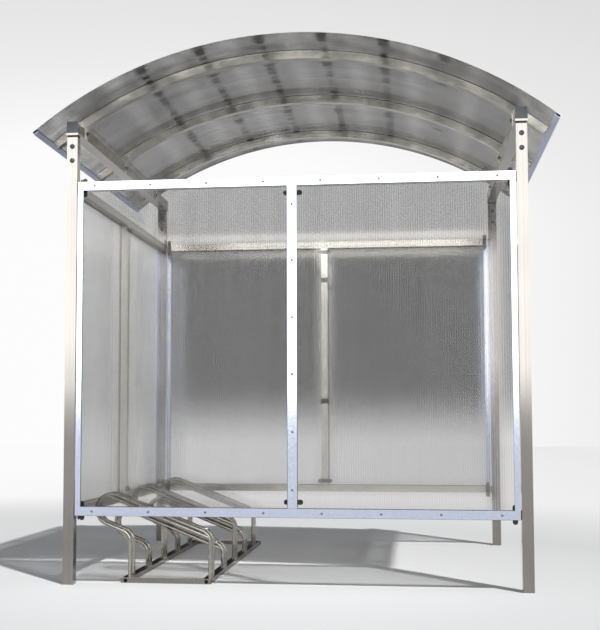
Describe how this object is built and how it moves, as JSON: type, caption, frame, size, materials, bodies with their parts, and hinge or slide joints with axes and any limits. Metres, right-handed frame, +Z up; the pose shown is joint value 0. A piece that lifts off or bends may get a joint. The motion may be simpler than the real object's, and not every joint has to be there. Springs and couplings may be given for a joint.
{
  "type": "bicycle shelter",
  "caption": "Free-standing square-post bicycle shelter with a barrel-vault roof, sheeted front, rear and end panels, one open end and an inner wheel rack.",
  "frame": {"origin": "on the ground, at the middle of the overall plan", "axes": "+X along the arch, towards the open end; +Y from the front panel to the rear panel; +Z up"},
  "size_m": [2.395, 2.209, 2.505],
  "materials": {
    "cap_plastic": "matt",
    "clamp_plastic": "matt",
    "strip_aluminium": "anodised",
    "edge_aluminium": "anodised",
    "post_steel": "satin",
    "frame_steel": "satin",
    "rib_steel": "satin",
    "panel_polycarbonate": "clear, fluted",
    "spacer_plastic": "matt",
    "beam_steel": "satin",
    "eaves_aluminium": "anodised",
    "head_steel": "satin",
    "rack_steel": "satin",
    "cleat_steel": "satin",
    "roof_polycarbonate": "smoked, fluted"
  },
  "bodies": {
    "root": {"beam_caps": "cap_plastic", "front_clamp_plates": "clamp_plastic", "front_cover_strips": "strip_aluminium", "front_edge_profiles": "edge_aluminium", "front_left_post": "post_steel", "front_middle_stile": "frame_steel", "front_rails": "frame_steel", "front_rib": "rib_steel", "front_right_post": "post_steel", "front_sheets": "panel_polycarbonate", "front_spacers": "spacer_plastic", "left_clamp_plates": "clamp_plastic", "left_cover_strips": "strip_aluminium", "left_eaves_beam": "beam_steel", "left_eaves_profile": "eaves_aluminium", "left_edge_profiles": "edge_aluminium", "left_middle_stile": "frame_steel", "left_rails": "frame_steel", "left_sheets": "panel_polycarbonate", "left_spacers": "spacer_plastic", "middle_rib": "rib_steel", "post_heads": "head_steel", "rack_end_bars": "rack_steel", "rack_hoops_1": "rack_steel", "rack_hoops_2": "rack_steel", "rack_hoops_3": "rack_steel", "rack_hoops_4": "rack_steel", "rack_hoops_5": "rack_steel", "rack_left_rail": "rack_steel", "rack_right_rail": "rack_steel", "rack_stays": "rack_steel", "rear_clamp_plates": "clamp_plastic", "rear_cover_strips": "strip_aluminium", "rear_edge_profiles": "edge_aluminium", "rear_left_post": "post_steel", "rear_middle_stile": "frame_steel", "rear_rails": "frame_steel", "rear_rib": "rib_steel", "rear_right_post": "post_steel", "rear_sheets": "panel_polycarbonate", "rear_spacers": "spacer_plastic", "rib_cleats": "cleat_steel", "right_eaves_beam": "beam_steel", "right_eaves_profile": "eaves_aluminium", "roof_sheet": "roof_polycarbonate"}
  },
  "joints": []
}
